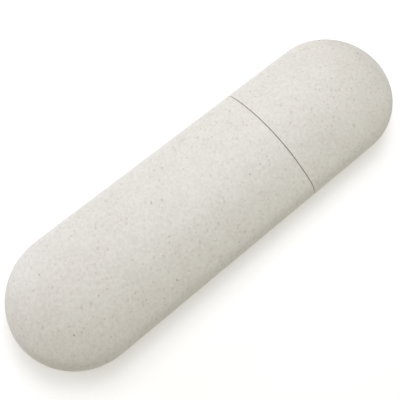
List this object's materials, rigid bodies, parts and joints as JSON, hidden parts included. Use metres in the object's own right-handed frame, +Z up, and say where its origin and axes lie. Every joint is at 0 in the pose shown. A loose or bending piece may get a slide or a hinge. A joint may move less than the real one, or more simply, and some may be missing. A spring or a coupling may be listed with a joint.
{
  "type": "toothbrush travel case",
  "caption": "Flattened capsule case for a travel toothbrush: a long, smooth shell of speckled plastic with a short cap that pulls off a push-fit neck.",
  "frame": {"origin": "on the surface that the case lies on, under the middle of its length and width", "axes": "+X along the case towards the cap's tip, +Y across its width, +Z up through its thickness"},
  "size_m": [0.205, 0.0604, 0.029],
  "materials": {
    "straw_plastic": "satin moulded, flecked with straw fibre",
    "neck_plastic": "smooth satin, unflecked"
  },
  "bodies": {
    "case_body": {"body_shell": "straw_plastic", "neck_sleeve": "neck_plastic"},
    "cap": {"cap_shell": "straw_plastic"}
  },
  "joints": [
    {"name": "cap_pull", "type": "slide", "parent": "case_body", "child": "cap", "axis": [1, 0, 0], "range_m": [0, 0.1]}
  ]
}
